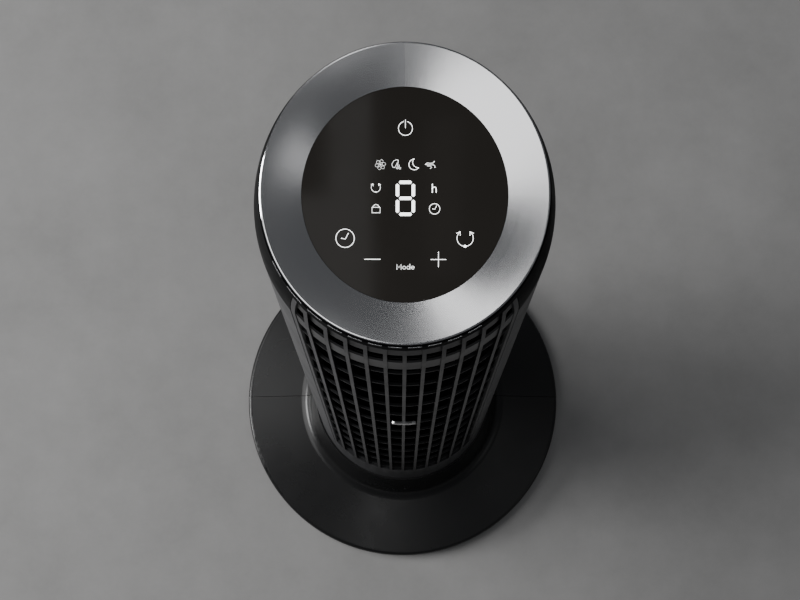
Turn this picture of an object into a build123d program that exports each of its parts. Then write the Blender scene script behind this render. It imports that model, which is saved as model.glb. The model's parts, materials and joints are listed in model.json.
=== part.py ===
from build123d import *
import os
from math import cos, radians, sin

# Tower fan on a round two-part base. Millimetres, +Z up, front towards -Y,
# origin at the middle of the base on the floor.

# ---------------------------------------------------------------- dimensions
# Base
base_radius = 150.0
foot_height = 3.0
foot_radius = 9.0
foot_circle = 112.0
base_plate_thickness = 2.0
base_plate_radius = 143.0
rim_bottom = 2.5
rim_straight_top = 8.5
rim_rounding = 3.5
cone_inner_radius = 98.0
cone_inner_height = 20.4
flare_top_radius = 82.0
flare_top = 74.6
base_wall = 3.0
half_gap = 0.4
split_line_y = 3.1
base_screw_circle = 128.0
base_boss_radius = 4.0
base_boss_top = 13.2
gland_height = 32.0
gland_spout_end = 101.0
gland_spout_radius = 9.5
gland_neck_radius = 6.5
cord_radius = 3.6

# Swivel post, gear pair and turntable
post_flange_radius = 58.0
post_flange_top = 9.0
post_radius = 22.0
post_bore_radius = 15.0
post_top = 98.3
post_screw_circle = 48.0
gear_seat_radius = 40.0
gear_bottom = 60.0
gear_height = 8.0
gear_module = 1.0
ring_gear_teeth = 84
pinion_teeth = 14
gear_screw_circle = 36.0
washer_height = 2.0
running_gap = 0.05
turntable_bottom = 76.0
turntable_thickness = 3.0
hub_radius = 31.0
stepper_radius = 14.0
stepper_height = 19.0
stepper_ear_offset = 17.5
stepper_shaft_radius = 2.5

# Tower casing
body_radius = 80.5
casing_bottom = 75.6
casing_wall = 2.2
grille_half_angle = 50.0
head_tilt = 16.7
head_centre_height = 967.5
knee_drop = 39.0
taper_sections = ((39.0, 80.5), (29.0, 80.1), (19.0, 79.0), (9.0, 77.2), (0.0, 75.0))
rib_pitch = 10.5
rib_width = 2.2
rib_depth = 7.0
rib_count = 11
grille_bottom = 166.0
ring_pitch = 56.1
top_ring_height = 853.9
ring_count = 13
ring_thickness = 1.6
ring_setback = 1.3
ring_depth = 1.8
lip_drop = 9.0

# Air duct, fan motor and impeller
impeller_y = 8.0
impeller_radius = 44.0
impeller_bore_radius = 35.0
impeller_bottom = 176.0
end_disc_thickness = 3.0
cell_disc_thickness = 1.6
cell_pitch = 57.0
cells_per_section = 3
section_count = 4
blade_count = 30
motor_plate_bottom = 158.0
motor_plate_thickness = 4.0
top_plate_bottom = 872.0
top_plate_thickness = 3.0
plate_radius = 78.0
duct_wall = 2.0
motor_radius = 36.0
motor_bottom = 112.0
motor_top = 155.0
motor_screw_circle = 26.0
shaft_radius = 4.0
bearing_radius = 11.0
bearing_height = 7.0
pin_radius = 3.0

# Head
bezel_radius = 75.3
glass_radius = 53.7
bezel_dish = 1.9
bezel_lip = 0.9
glass_thickness = 2.4
bezel_thickness = bezel_dish + glass_thickness
face_gap = 0.2
carrier_thickness = 2.5
carrier_radius = 73.4
ledge_thickness = 2.0
board_drop = 12.0
board_thickness = 1.6
board_radius = 49.0

impeller_top = impeller_bottom + end_disc_thickness + section_count * cells_per_section * cell_pitch
tilt_cos = cos(radians(head_tilt))
base_plate_top = foot_height + base_plate_thickness
pinion_x = gear_module * (ring_gear_teeth + pinion_teeth) / 2

os.makedirs("parts", exist_ok=True)


# ------------------------------------------------------------------- helpers
def save(builder, label):
    """Name a finished piece and write its STEP file."""
    builder.part.label = label
    export_step(builder.part, f"parts/{label}.step")


def slanted_plane(drop):
    """Plane parallel to the sloping top face, drop below it along Z."""
    tilt = radians(head_tilt)
    return Plane(
        origin=(0, 0, head_centre_height - drop),
        x_dir=(1, 0, 0),
        z_dir=(0, -sin(tilt), cos(tilt)),
    )


def head_disc(radius, inner_radius, drop, thickness):
    """Sloping disc or ring that is round seen from above, thickness measured along Z."""
    with BuildPart() as disc:
        with BuildSketch(slanted_plane(drop)):
            Ellipse(radius, radius / tilt_cos)
            if inner_radius > 0:
                Ellipse(inner_radius, inner_radius / tilt_cos, mode=Mode.SUBTRACT)
        extrude(amount=thickness, dir=(0, 0, -1))
    return disc.part


def tower_form(inset, bottom):
    """Solid outer form of the tower, drawn in by inset: a cylinder and a tapered, sloping head."""
    with BuildPart() as form:
        with BuildSketch(Plane.XY.offset(bottom)):
            Circle(body_radius - inset)
        extrude(amount=head_centre_height - bottom)
        split(bisect_by=slanted_plane(knee_drop), keep=Keep.BOTTOM)
        for drop, radius in taper_sections:
            with BuildSketch(slanted_plane(drop)):
                Ellipse(radius - inset, (radius - inset) / tilt_cos)
        loft()
    return form.part


def front_wedge(half_angle, bottom, top):
    """Prism that covers the front of the tower, half_angle to each side of -Y."""
    reach = 200.0
    side = radians(half_angle)
    with BuildPart() as wedge:
        with BuildSketch(Plane.XY.offset(bottom)):
            Polygon(
                (0, 0),
                (-reach * sin(side), -reach * cos(side)),
                (reach * sin(side), -reach * cos(side)),
                align=None,
            )
        extrude(amount=top - bottom)
    return wedge.part


def front_rim(radius, bottom, top):
    """Front part of the ring between radius and the outside of the tower."""
    with BuildPart() as rim:
        add(front_wedge(grille_half_angle + 1, bottom, top))
        with BuildSketch(Plane.XY.offset(bottom)):
            Circle(radius)
        extrude(amount=top - bottom, mode=Mode.SUBTRACT)
    return rim.part


def slanted_slice(upper_drop, lower_drop):
    """Wide slab between two planes parallel to the sloping top face."""
    with BuildPart() as slab:
        with BuildSketch(slanted_plane(upper_drop)):
            Rectangle(240, 240)
        extrude(amount=lower_drop - upper_drop, dir=(0, 0, -1))
    return slab.part


def pan_screw(head_radius, head_height, shank_radius, shank_length):
    """Cross-head screw, head above z = 0 and shank below."""
    slot_width = head_radius * 0.35
    slot_length = head_radius * 1.2
    with BuildPart() as screw:
        with BuildSketch(Plane.XZ):
            with BuildLine():
                Polyline(
                    (0, -shank_length),
                    (shank_radius * 0.5, -shank_length),
                    (shank_radius, -shank_length + shank_radius),
                    (shank_radius, 0),
                    (head_radius, 0),
                    (head_radius, head_height * 0.4),
                )
                ThreePointArc(
                    (head_radius, head_height * 0.4),
                    (head_radius * 0.72, head_height * 0.86),
                    (0, head_height),
                )
                Line((0, head_height), (0, -shank_length))
            make_face()
        revolve(axis=Axis.Z)
        with BuildSketch(Plane.XY.offset(head_height * 0.45)):
            Rectangle(slot_length, slot_width)
            Rectangle(slot_width, slot_length)
        extrude(amount=head_height, mode=Mode.SUBTRACT)
    return screw.part


def spur_gear(teeth, bore_radius, height, tooth_turn):
    """Gear on z = 0 with straight-sided teeth; the first tooth lies at tooth_turn degrees."""
    pitch_radius = gear_module * teeth / 2
    root_radius = pitch_radius - 1.25 * gear_module
    tip_radius = pitch_radius + 0.85 * gear_module
    root_half_width = 1.0 * gear_module
    tip_half_width = 0.28 * gear_module
    with BuildPart() as gear:
        with BuildSketch():
            Circle(root_radius)
            with PolarLocations(0, teeth, start_angle=tooth_turn):
                Polygon(
                    (root_radius - 0.2, -root_half_width),
                    (tip_radius, -tip_half_width),
                    (tip_radius, tip_half_width),
                    (root_radius - 0.2, root_half_width),
                    align=None,
                )
            Circle(bore_radius, mode=Mode.SUBTRACT)
        extrude(amount=height)
    return gear.part


# ---------------------------------------------------------------------- base
def base_shell():
    """Both halves of the hollow base in one: rim, shallow cone and trumpet-shaped flare."""
    flare_in = flare_top_radius - base_wall
    with BuildPart() as shell:
        with BuildSketch(Plane.XZ):
            with BuildLine():
                Line((base_radius, rim_bottom), (base_radius, rim_straight_top))
                RadiusArc(
                    (base_radius, rim_straight_top),
                    (base_radius - rim_rounding, rim_straight_top + rim_rounding),
                    -rim_rounding,
                )
                Line(
                    (base_radius - rim_rounding, rim_straight_top + rim_rounding),
                    (cone_inner_radius, cone_inner_height),
                )
                Spline(
                    (cone_inner_radius, cone_inner_height),
                    (flare_top_radius + 5, cone_inner_height + 18),
                    (flare_top_radius, flare_top),
                    tangents=((-1, 0.17), (0, 1)),
                )
                Line((flare_top_radius, flare_top), (flare_in, flare_top))
                Spline(
                    (flare_in, flare_top),
                    (flare_in + 4.6, cone_inner_height + 15.5),
                    (cone_inner_radius - 1, cone_inner_height - base_wall),
                    tangents=((0, -1), (1, -0.17)),
                )
                Polyline(
                    (cone_inner_radius - 1, cone_inner_height - base_wall),
                    (base_radius - rim_rounding - 0.5, rim_straight_top + 0.5),
                    (base_radius - base_wall, rim_straight_top - 0.5),
                    (base_radius - base_wall, rim_bottom),
                    (base_radius, rim_bottom),
                )
            make_face()
        revolve(axis=Axis.Z)
        with BuildSketch(Plane.XY.offset(base_plate_top)):
            with PolarLocations(base_screw_circle, 6, start_angle=30):
                Circle(base_boss_radius)
        extrude(amount=base_boss_top - base_plate_top)
        with BuildSketch(Plane.XY.offset(base_plate_top)):
            with PolarLocations(base_screw_circle, 6, start_angle=30):
                Circle(1.25)
        extrude(amount=7, mode=Mode.SUBTRACT)
    return shell.part


with BuildPart() as base_front_half:
    add(base_shell())
    split(bisect_by=Plane.XZ.offset(half_gap / 2 - split_line_y), keep=Keep.TOP)
save(base_front_half, "base_front_half")

# The rear half also carries the spout that the cord gland sits in.
gland_plane = Plane(origin=(0, 0, gland_height), x_dir=(-1, 0, 0), z_dir=(0, 1, 0))
with BuildPart() as base_rear_half:
    add(base_shell())
    split(bisect_by=Plane.XZ.offset(-half_gap / 2 - split_line_y), keep=Keep.BOTTOM)
    with BuildSketch(gland_plane.offset(86)):
        Circle(gland_spout_radius)
    extrude(amount=gland_spout_end - 86)
    with BuildSketch(gland_plane.offset(70)):
        Circle(gland_neck_radius)
    extrude(amount=40, mode=Mode.SUBTRACT)
save(base_rear_half, "base_rear_half")

with BuildPart() as cord_gland:
    with BuildSketch(gland_plane.offset(gland_spout_end - 8)):
        Circle(gland_neck_radius)
        Circle(cord_radius, mode=Mode.SUBTRACT)
    extrude(amount=8)
    with BuildSketch(gland_plane.offset(gland_spout_end)):
        Circle(gland_spout_radius - 0.5)
        Circle(cord_radius, mode=Mode.SUBTRACT)
    extrude(amount=2.5)
save(cord_gland, "cord_gland")

with BuildPart() as base_plate:
    with BuildSketch(Plane.XY.offset(foot_height)):
        Circle(base_plate_radius)
        with PolarLocations(base_screw_circle, 6, start_angle=30):
            Circle(1.8, mode=Mode.SUBTRACT)
        with PolarLocations(post_screw_circle, 4, start_angle=45):
            Circle(1.8, mode=Mode.SUBTRACT)
    extrude(amount=base_plate_thickness)
save(base_plate, "base_plate")

with BuildPart() as rubber_feet:
    with BuildSketch():
        with PolarLocations(foot_circle, 6):
            Circle(foot_radius)
    extrude(amount=foot_height)
    chamfer(rubber_feet.edges().group_by(Axis.Z)[0], length=0.8)
save(rubber_feet, "rubber_feet")

short_screw = pan_screw(3.0, 1.7, 1.2, 8.0)
with BuildPart() as base_screws:
    with PolarLocations(base_screw_circle, 6, start_angle=30):
        with Locations(Location((0, 0, foot_height), (180, 0, 0))):
            add(short_screw)
save(base_screws, "base_screws")


# ----------------------------------------------------------- swivel mechanism
with BuildPart() as swivel_post:
    with BuildSketch(Plane.XZ):
        with BuildLine():
            Polyline(
                (post_bore_radius, base_plate_top),
                (post_flange_radius, base_plate_top),
                (post_flange_radius, post_flange_top),
                (post_radius + 4, post_flange_top),
                (post_radius + 1, post_flange_top + 6),
                (post_radius + 1, gear_bottom - 14),
                (gear_seat_radius, gear_bottom - 4),
                (gear_seat_radius, gear_bottom),
                (post_radius, gear_bottom),
                (post_radius, post_top),
                (post_bore_radius, post_top),
                close=True,
            )
        make_face()
    revolve(axis=Axis.Z)
    with BuildSketch(Plane.XY.offset(post_flange_top)):
        with PolarLocations(post_radius + 14, 8, start_angle=22.5):
            Rectangle(26, 3)
    extrude(amount=9, taper=12)
    with BuildSketch(Plane.XY.offset(base_plate_top)):
        with PolarLocations(post_screw_circle, 4, start_angle=45):
            Circle(1.25)
    extrude(amount=10, mode=Mode.SUBTRACT)
    with BuildSketch(Plane.XY.offset(gear_bottom - 4)):
        with PolarLocations(gear_screw_circle, 3, start_angle=90):
            Circle(1.25)
    extrude(amount=10, mode=Mode.SUBTRACT)
    with BuildSketch(Plane.XY.offset(post_top - 9)):
        with PolarLocations((post_radius + post_bore_radius) / 2, 3, start_angle=30):
            Circle(1.25)
    extrude(amount=9, mode=Mode.SUBTRACT)
    # Window at the back that lets the cord into the post.
    with BuildSketch(gland_plane.offset(0)):
        RectangleRounded(14, 18, 5)
    extrude(amount=40, mode=Mode.SUBTRACT)
save(swivel_post, "swivel_post")

with BuildPart() as post_screws:
    with PolarLocations(post_screw_circle, 4, start_angle=45):
        with Locations(Location((0, 0, foot_height), (180, 0, 0))):
            add(pan_screw(3.0, 1.7, 1.2, 5.8))
save(post_screws, "post_screws")

with BuildPart() as ring_gear:
    with Locations((0, 0, gear_bottom)):
        add(spur_gear(ring_gear_teeth, post_radius, gear_height, 0))
    with BuildSketch(Plane.XY.offset(gear_bottom)):
        with PolarLocations(gear_screw_circle, 3, start_angle=90):
            Circle(1.6)
    extrude(amount=gear_height, mode=Mode.SUBTRACT)
save(ring_gear, "ring_gear")

gear_screw = pan_screw(2.6, 1.6, 1.2, 11.5)
with BuildPart() as ring_gear_screws:
    with Locations((0, 0, gear_bottom + gear_height)):
        with PolarLocations(gear_screw_circle, 3, start_angle=90):
            add(gear_screw)
save(ring_gear_screws, "ring_gear_screws")

with BuildPart() as thrust_washer:
    with BuildSketch(Plane.XY.offset(gear_bottom + gear_height)):
        Circle(post_radius + 9)
        Circle(post_radius + 0.5, mode=Mode.SUBTRACT)
    extrude(amount=washer_height)
save(thrust_washer, "thrust_washer")

with BuildPart() as retaining_ring:
    with BuildSketch(Plane.XY.offset(post_top)):
        Circle(post_radius + 6)
        Circle(post_bore_radius, mode=Mode.SUBTRACT)
        with PolarLocations((post_radius + post_bore_radius) / 2, 3, start_angle=30):
            Circle(1.6, mode=Mode.SUBTRACT)
    extrude(amount=2.5)
save(retaining_ring, "retaining_ring")

with BuildPart() as retainer_screws:
    with Locations((0, 0, post_top + 2.5)):
        with PolarLocations((post_radius + post_bore_radius) / 2, 3, start_angle=30):
            add(pan_screw(2.6, 1.6, 1.2, 9.0))
save(retainer_screws, "retainer_screws")

casing_boss_circle = 74.6
board_y = -48.0
board_width = 92.0
board_height = 62.0
board_bottom = turntable_bottom + turntable_thickness + 4
board_depth = 1.6

with BuildPart() as turntable:
    with BuildSketch(Plane.XY.offset(turntable_bottom)):
        Circle(plate_radius)
    extrude(amount=turntable_thickness)
    with BuildSketch(Plane.XY.offset(gear_bottom + gear_height + washer_height + 0.3)):
        Circle(hub_radius)
    extrude(amount=post_top - 0.3 - (gear_bottom + gear_height + washer_height + 0.3))
    with BuildSketch(Plane.XY.offset(turntable_bottom + turntable_thickness)):
        with PolarLocations(hub_radius + 18, 6, start_angle=30):
            Rectangle(38, 2)
    extrude(amount=4)
    with BuildSketch(Plane.XY.offset(turntable_bottom)):
        with Locations((-board_width / 2 + 1, board_y), (board_width / 2 - 1, board_y)):
            Rectangle(7, 7)
    extrude(amount=30)
    with Locations((0, board_y, board_bottom + board_height / 2)):
        Box(board_width, board_depth, board_height, mode=Mode.SUBTRACT)
    with BuildSketch(Plane.XY.offset(60)):
        Circle(post_radius + running_gap)
        with PolarLocations(casing_boss_circle, 6, start_angle=30):
            Circle(1.6)
        with Locations((pinion_x, 0)):
            Circle(4.6)
        with Locations((pinion_x, stepper_ear_offset), (pinion_x, -stepper_ear_offset)):
            Circle(1.25)
    extrude(amount=50, mode=Mode.SUBTRACT)
save(turntable, "turntable")

with BuildPart() as turntable_screws:
    with PolarLocations(casing_boss_circle, 6, start_angle=30):
        with Locations(Location((0, 0, turntable_bottom), (180, 0, 0))):
            add(pan_screw(2.6, 1.6, 1.2, 11.0))
save(turntable_screws, "turntable_screws")

stepper_bottom = turntable_bottom + turntable_thickness
with BuildPart() as stepper_motor:
    with BuildSketch(Plane(origin=(pinion_x, 0, stepper_bottom))):
        Circle(stepper_radius)
    extrude(amount=stepper_height)
    fillet(stepper_motor.edges().group_by(Axis.Z)[-1], radius=1.2)
    with BuildSketch(Plane(origin=(pinion_x, 0, stepper_bottom))):
        SlotCenterToCenter(2 * stepper_ear_offset, 7, rotation=90)
    extrude(amount=1)
    with BuildSketch(Plane(origin=(pinion_x, 0, turntable_bottom - 1))):
        Circle(4.3)
    extrude(amount=turntable_thickness + 1)
    with BuildSketch(Plane(origin=(pinion_x, 0, turntable_bottom - 1))):
        Circle(stepper_shaft_radius + running_gap)
    extrude(amount=16, mode=Mode.SUBTRACT)
    with BuildSketch(Plane(origin=(pinion_x, 0, stepper_bottom))):
        with Locations((0, stepper_ear_offset), (0, -stepper_ear_offset)):
            Circle(1.6)
    extrude(amount=1, mode=Mode.SUBTRACT)
    with BuildSketch(Plane(origin=(pinion_x + stepper_radius - 1, 0, stepper_bottom + 3))):
        Rectangle(7, 13)
    extrude(amount=11)
save(stepper_motor, "stepper_motor")

with BuildPart() as stepper_screws:
    with Locations(
        (pinion_x, stepper_ear_offset, stepper_bottom + 1),
        (pinion_x, -stepper_ear_offset, stepper_bottom + 1),
    ):
        add(pan_screw(2.4, 1.5, 1.2, 3.8))
save(stepper_screws, "stepper_screws")

# The pinion starts half a tooth round, so that a gap meets the ring gear's first tooth.
with BuildPart() as drive_pinion:
    with Locations((pinion_x, 0, gear_bottom + 0.5)):
        add(spur_gear(pinion_teeth, stepper_shaft_radius, gear_height - 1, 180 / pinion_teeth))
    with BuildSketch(Plane(origin=(pinion_x, 0, gear_bottom + gear_height - 0.5))):
        Circle(4.2)
        Circle(stepper_shaft_radius, mode=Mode.SUBTRACT)
    extrude(amount=4)
save(drive_pinion, "drive_pinion")

with BuildPart() as stepper_shaft:
    with BuildSketch(Plane(origin=(pinion_x, 0, gear_bottom))):
        Circle(stepper_shaft_radius)
    extrude(amount=29)
save(stepper_shaft, "stepper_shaft")


# --------------------------------------------------------------- tower casing
seam = 0.4
slot_width = 4.0
slot_height = 104.0
slot_rows = 6
slot_row_pitch = 113.0
slot_columns = 19
slot_arc = 116.0
first_slot_centre = 240.0

with BuildPart() as rear_housing:
    add(tower_form(0, casing_bottom))
    add(tower_form(casing_wall, casing_bottom), mode=Mode.SUBTRACT)
    split(bisect_by=slanted_plane(knee_drop), keep=Keep.BOTTOM)
    add(front_wedge(grille_half_angle, casing_bottom, 1000), mode=Mode.SUBTRACT)
    # Screw bosses on the inside of the wall, over the turntable.
    with BuildSketch(Plane.XY.offset(turntable_bottom + turntable_thickness)):
        with PolarLocations(casing_boss_circle, 5, start_angle=-30, angular_range=240, endpoint=True):
            Circle(4.2)
            Circle(1.25, mode=Mode.SUBTRACT)
    extrude(amount=18)
    # Two ledges that carry the motor plate and the top plate.
    for ledge_top in (motor_plate_bottom, top_plate_bottom):
        with BuildSketch(Plane.XY.offset(ledge_top - 3)):
            with PolarLocations(plate_radius - 1, 3, start_angle=30, angular_range=120, endpoint=True):
                Rectangle(5, 16)
        extrude(amount=3)
    with Locations(*[(0, 0, first_slot_centre + row * slot_row_pitch) for row in range(slot_rows)]):
        with PolarLocations(
            body_radius,
            slot_columns,
            start_angle=90 - slot_arc / 2,
            angular_range=slot_arc,
            endpoint=True,
        ):
            Box(16, slot_width, slot_height, mode=Mode.SUBTRACT)
save(rear_housing, "rear_housing")

rib_places = [(index - (rib_count - 1) / 2) * rib_pitch for index in range(rib_count)]
ring_heights = [top_ring_height - index * ring_pitch for index in range(ring_count)]


def grille_band(inset, depth, upper_drop, lower_drop):
    """Part of the grille's wall between two sloping planes."""
    with BuildPart() as band:
        add(tower_form(inset, 800))
        add(tower_form(inset + depth, 800), mode=Mode.SUBTRACT)
        add(slanted_slice(upper_drop, lower_drop), mode=Mode.INTERSECT)
    return band.part


with BuildPart() as grille_body:
    # Upright ribs, all facing straight forward, trimmed to the tower's outline.
    with BuildSketch(Plane.XY.offset(grille_bottom - 4)):
        with Locations(*[(place, -(body_radius - 30)) for place in rib_places]):
            Rectangle(rib_width, 70)
    extrude(amount=head_centre_height - grille_bottom)
    add(tower_form(0, casing_bottom), mode=Mode.INTERSECT)
    add(tower_form(rib_depth, casing_bottom - 1), mode=Mode.SUBTRACT)
    # Thin level rings behind the rib faces.
    for height in ring_heights:
        with BuildSketch(Plane.XY.offset(height - ring_thickness)):
            Circle(body_radius - ring_setback)
            Circle(body_radius - ring_setback - ring_depth, mode=Mode.SUBTRACT)
        extrude(amount=ring_thickness)
    # Two wider bands under the head, with an open slot between them.
    add(grille_band(0.9, 1.2, 38.0, 66.0))
    add(grille_band(2.0, 4.0, lip_drop, 24.0))
    # Solid apron below the openings.
    with BuildSketch(Plane.XY.offset(casing_bottom)):
        Circle(body_radius)
        Circle(body_radius - casing_wall, mode=Mode.SUBTRACT)
    extrude(amount=grille_bottom - casing_bottom)
    with BuildSketch(Plane.XY.offset(grille_bottom - 3)):
        Circle(body_radius - 0.5)
        Circle(body_radius - rib_depth, mode=Mode.SUBTRACT)
    extrude(amount=3)

rail_angle = 2.6
with BuildPart() as side_rails:
    add(tower_form(0.3, casing_bottom))
    add(tower_form(casing_wall, casing_bottom - 1), mode=Mode.SUBTRACT)
    add(front_wedge(grille_half_angle - seam / 2, casing_bottom, 1000), mode=Mode.INTERSECT)
    add(front_wedge(grille_half_angle - rail_angle, casing_bottom, 1000), mode=Mode.SUBTRACT)
    split(bisect_by=slanted_plane(lip_drop), keep=Keep.BOTTOM)

with BuildPart() as front_grille:
    add(grille_body)
    add(front_wedge(grille_half_angle - seam / 2, casing_bottom, 1000), mode=Mode.INTERSECT)
    split(bisect_by=slanted_plane(lip_drop), keep=Keep.BOTTOM)
    add(side_rails)
    with BuildSketch(Plane.XY.offset(turntable_bottom + turntable_thickness)):
        with PolarLocations(casing_boss_circle, 1, start_angle=-90):
            Circle(4.2)
            Circle(1.25, mode=Mode.SUBTRACT)
    extrude(amount=18)
save(front_grille, "front_grille")

badge_height = 595.0
badge_width = 16.5
badge_tall = 9.0
badge_thickness = 1.4
with BuildPart() as badge:
    badge_plane = Plane(origin=(0, -body_radius + 6, badge_height), x_dir=(1, 0, 0), z_dir=(0, -1, 0))
    with BuildSketch(badge_plane):
        RectangleRounded(badge_width, badge_tall, 2.5)
    extrude(amount=12)
    with BuildSketch(Plane.XY.offset(badge_height - badge_tall)):
        Circle(body_radius + badge_thickness)
        Circle(body_radius, mode=Mode.SUBTRACT)
    extrude(amount=2 * badge_tall, mode=Mode.INTERSECT)
save(badge, "badge")


# ------------------------------------------------------------------- air duct
cable_channel = (62.0, -28.0)
duct_bottom = motor_plate_bottom + motor_plate_thickness
duct_height = top_plate_bottom - duct_bottom
scroll_boss = (-71.0, 16.0)
tongue_boss = (71.0, -15.5)
duct_bosses = (scroll_boss, tongue_boss)

with BuildPart() as scroll_wall:
    with BuildSketch(Plane.XY.offset(duct_bottom)):
        with BuildLine():
            Polyline((-76.5, 12.5), (-43, 33.5))
            Spline((-43, 33.5), (-58, 10), (-64, -14), (-62, -33), (-55, -46.5))
        trace(line_width=duct_wall)
        with Locations(scroll_boss):
            Circle(3.4)
    extrude(amount=duct_height)
    with BuildSketch(Plane.XY.offset(duct_bottom), Plane.XY.offset(top_plate_bottom - 10)):
        with Locations(scroll_boss):
            Circle(1.25)
    extrude(amount=10, mode=Mode.SUBTRACT)
save(scroll_wall, "scroll_wall")

with BuildPart() as tongue_wall:
    with BuildSketch(Plane.XY.offset(duct_bottom)):
        with BuildLine():
            Polyline((76.5, -12.5), (42, -19), (39.5, -21.5), (41, -25), (54, -47))
        trace(line_width=duct_wall)
        with Locations(tongue_boss):
            Circle(3.4)
    extrude(amount=duct_height)
    with BuildSketch(Plane.XY.offset(duct_bottom), Plane.XY.offset(top_plate_bottom - 10)):
        with Locations(tongue_boss):
            Circle(1.25)
    extrude(amount=10, mode=Mode.SUBTRACT)
save(tongue_wall, "tongue_wall")

with BuildPart() as motor_plate:
    with BuildSketch(Plane.XY.offset(motor_plate_bottom)):
        Circle(plate_radius)
        with Locations(*duct_bosses):
            Circle(1.6, mode=Mode.SUBTRACT)
        with Locations(cable_channel):
            Circle(4, mode=Mode.SUBTRACT)
        with Locations((0, impeller_y)):
            Circle(14, mode=Mode.SUBTRACT)
            with PolarLocations(motor_screw_circle, 3, start_angle=90):
                Circle(1.8, mode=Mode.SUBTRACT)
    extrude(amount=motor_plate_thickness)
save(motor_plate, "motor_plate")

holder_radius = 13.0
bearing_cup_top = top_plate_bottom + 12
collar_post_places = [(53, 40), (-53, 40), (42, -48), (-42, -48)]
front_clearance = body_radius - rib_depth - 0.3
top_plate_top = top_plate_bottom + top_plate_thickness
with BuildPart() as top_plate:
    with BuildSketch(Plane.XY.offset(top_plate_bottom)):
        Circle(plate_radius)
        with Locations(*duct_bosses):
            Circle(1.6, mode=Mode.SUBTRACT)
        with Locations(cable_channel):
            Circle(4, mode=Mode.SUBTRACT)
        with Locations(*collar_post_places):
            Circle(1.6, mode=Mode.SUBTRACT)
    extrude(amount=top_plate_thickness)
    with BuildSketch(Plane(origin=(0, impeller_y, top_plate_bottom))):
        Circle(holder_radius + 2.5)
    extrude(amount=bearing_cup_top - top_plate_bottom)
    with BuildSketch(Plane(origin=(0, impeller_y, top_plate_bottom))):
        Circle(holder_radius)
    extrude(amount=bearing_cup_top - top_plate_bottom - 2, mode=Mode.SUBTRACT)
    add(front_rim(front_clearance, top_plate_bottom, top_plate_top), mode=Mode.SUBTRACT)
save(top_plate, "top_plate")

with BuildPart() as duct_screws:
    with Locations(*[(place[0], place[1], top_plate_top) for place in duct_bosses]):
        add(pan_screw(2.6, 1.6, 1.2, 11.0))
    with Locations(*[Location((x, y, motor_plate_bottom), (180, 0, 0)) for x, y in duct_bosses]):
        add(pan_screw(2.6, 1.6, 1.2, 12.0))
save(duct_screws, "duct_screws")


# ------------------------------------------------------------------ fan motor
end_cap_height = 3.0
stator_bottom = 122.0
stator_height = 24.0
stator_radius = 34.0
pole_count = 6
rotor_radius = 16.4
lower_bearing_bottom = motor_bottom + 2
upper_bearing_bottom = motor_top - 1 - bearing_height
bearing_seat_radius = bearing_radius + 3


def motor_plane(height):
    """Level plane on the impeller's axis."""
    return Plane(origin=(0, impeller_y, height))


with BuildPart() as motor_housing:
    with BuildSketch(motor_plane(motor_bottom + end_cap_height)):
        Circle(motor_radius)
    extrude(amount=motor_top - motor_bottom - end_cap_height)
    fillet(motor_housing.edges().group_by(Axis.Z)[-1], radius=2)
    with BuildSketch(motor_plane(motor_bottom + end_cap_height)):
        Circle(stator_radius)
    extrude(amount=motor_top - motor_bottom - end_cap_height - 3, mode=Mode.SUBTRACT)
    with BuildSketch(motor_plane(motor_top - 9)):
        Circle(bearing_seat_radius)
    extrude(amount=7)
    with BuildSketch(motor_plane(motor_top - 9)):
        Circle(bearing_radius)
    extrude(amount=8, mode=Mode.SUBTRACT)
    with BuildSketch(motor_plane(motor_top - 2)):
        Circle(7)
    extrude(amount=4, mode=Mode.SUBTRACT)
    with BuildSketch(motor_plane(motor_top - 4)):
        with PolarLocations(motor_screw_circle, 3, start_angle=90):
            Circle(1.55)
    extrude(amount=6, mode=Mode.SUBTRACT)
save(motor_housing, "motor_housing")

with BuildPart() as motor_end_cap:
    with BuildSketch(motor_plane(motor_bottom)):
        Circle(motor_radius)
    extrude(amount=end_cap_height)
    with BuildSketch(motor_plane(motor_bottom)):
        Circle(bearing_seat_radius)
    extrude(amount=2 + bearing_height)
    with BuildSketch(motor_plane(lower_bearing_bottom)):
        Circle(bearing_radius)
    extrude(amount=bearing_height, mode=Mode.SUBTRACT)
    with BuildSketch(motor_plane(motor_bottom)):
        Circle(7)
        with PolarLocations(24, 8, start_angle=22.5):
            SlotCenterToCenter(8, 4)
    extrude(amount=end_cap_height, mode=Mode.SUBTRACT)
save(motor_end_cap, "motor_end_cap")

with BuildPart() as stator_core:
    with BuildSketch(motor_plane(stator_bottom)):
        Circle(stator_radius)
        Circle(stator_radius - 5, mode=Mode.SUBTRACT)
        with PolarLocations((stator_radius - 4 + 18) / 2, pole_count):
            Rectangle(stator_radius - 4 - 18, 6)
        with PolarLocations(18.4, pole_count):
            Rectangle(2.4, 14)
        Circle(rotor_radius + 0.6, mode=Mode.SUBTRACT)
    extrude(amount=stator_height)
save(stator_core, "stator_core")

coil_overhang = 2.5
with BuildPart() as stator_coils:
    with BuildSketch(motor_plane(stator_bottom - coil_overhang)):
        with PolarLocations(24.0, pole_count):
            RectangleRounded(8, 11.6, 1.5)
    extrude(amount=stator_height + 2 * coil_overhang)
    with BuildSketch(motor_plane(stator_bottom)):
        with PolarLocations(24.0, pole_count):
            Rectangle(12, 6)
    extrude(amount=stator_height, mode=Mode.SUBTRACT)
save(stator_coils, "stator_coils")

with BuildPart() as motor_bearings:
    for bottom in (lower_bearing_bottom, upper_bearing_bottom):
        with BuildSketch(motor_plane(bottom)):
            Circle(bearing_radius)
            Circle(shaft_radius + running_gap, mode=Mode.SUBTRACT)
        extrude(amount=bearing_height)
    bearing_edges = motor_bearings.edges().filter_by(GeomType.CIRCLE)
    chamfer(bearing_edges.filter_by(lambda edge: edge.radius > shaft_radius + 1), length=0.5)
save(motor_bearings, "motor_bearings")

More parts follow.
